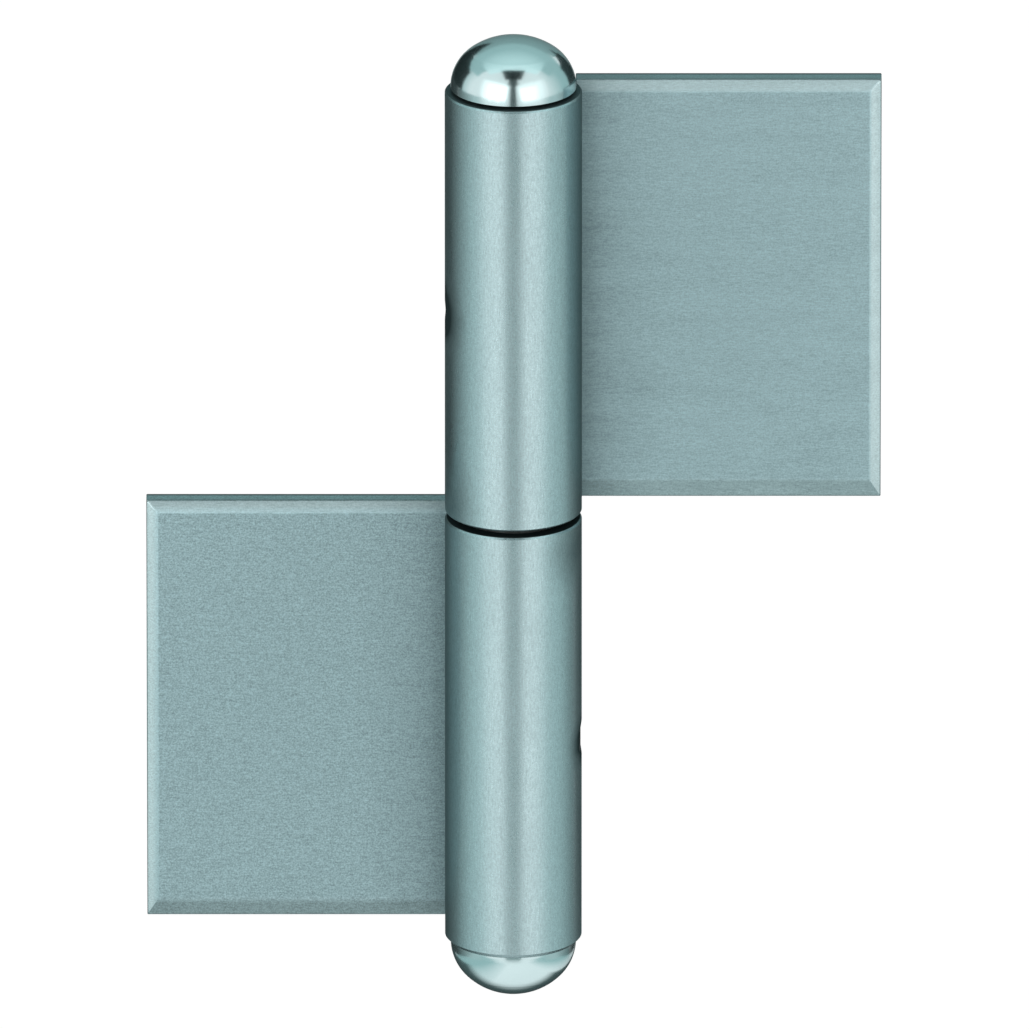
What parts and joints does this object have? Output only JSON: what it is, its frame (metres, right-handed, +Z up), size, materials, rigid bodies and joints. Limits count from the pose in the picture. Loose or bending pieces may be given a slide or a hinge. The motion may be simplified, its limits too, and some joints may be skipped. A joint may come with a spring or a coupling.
{
  "type": "weld-on hinge",
  "caption": "Weld-on door hinge: round knuckles on a locked pin with domed ends, and offset flat leaves with bevelled edges for welding to a frame and a door.",
  "frame": {"origin": "on the pin axis, in the middle of the gap between the knuckles, which is the middle of the whole hinge", "axes": "+Z up along the pin, +X towards the outer edge of the upper leaf, +Y towards the back, where the leaves lie on door and frame"},
  "size_m": [0.118, 0.022, 0.162],
  "materials": {
    "bright_steel": "plain bright steel, fine ground and drawn surface",
    "weld_metal": "rippled weld, wire-brushed",
    "polished_plate": "polished, bright plated",
    "ring_steel": "turned steel, oiled",
    "black_screw": "black oxide"
  },
  "bodies": {
    "frame_half": {"lower_knuckle": "bright_steel", "lower_leaf": "bright_steel", "lower_weld": "weld_metal", "hinge_pin": "polished_plate", "bearing_ring": "ring_steel", "bottom_cap": "polished_plate", "pin_lock_screw": "black_screw"},
    "door_half": {"upper_knuckle": "bright_steel", "upper_leaf": "bright_steel", "upper_weld": "weld_metal"}
  },
  "joints": [
    {"name": "door_swing", "type": "hinge", "parent": "frame_half", "child": "door_half", "pos_m": [0, 0, 0], "axis": [0, 0, 1], "continuous": true}
  ]
}
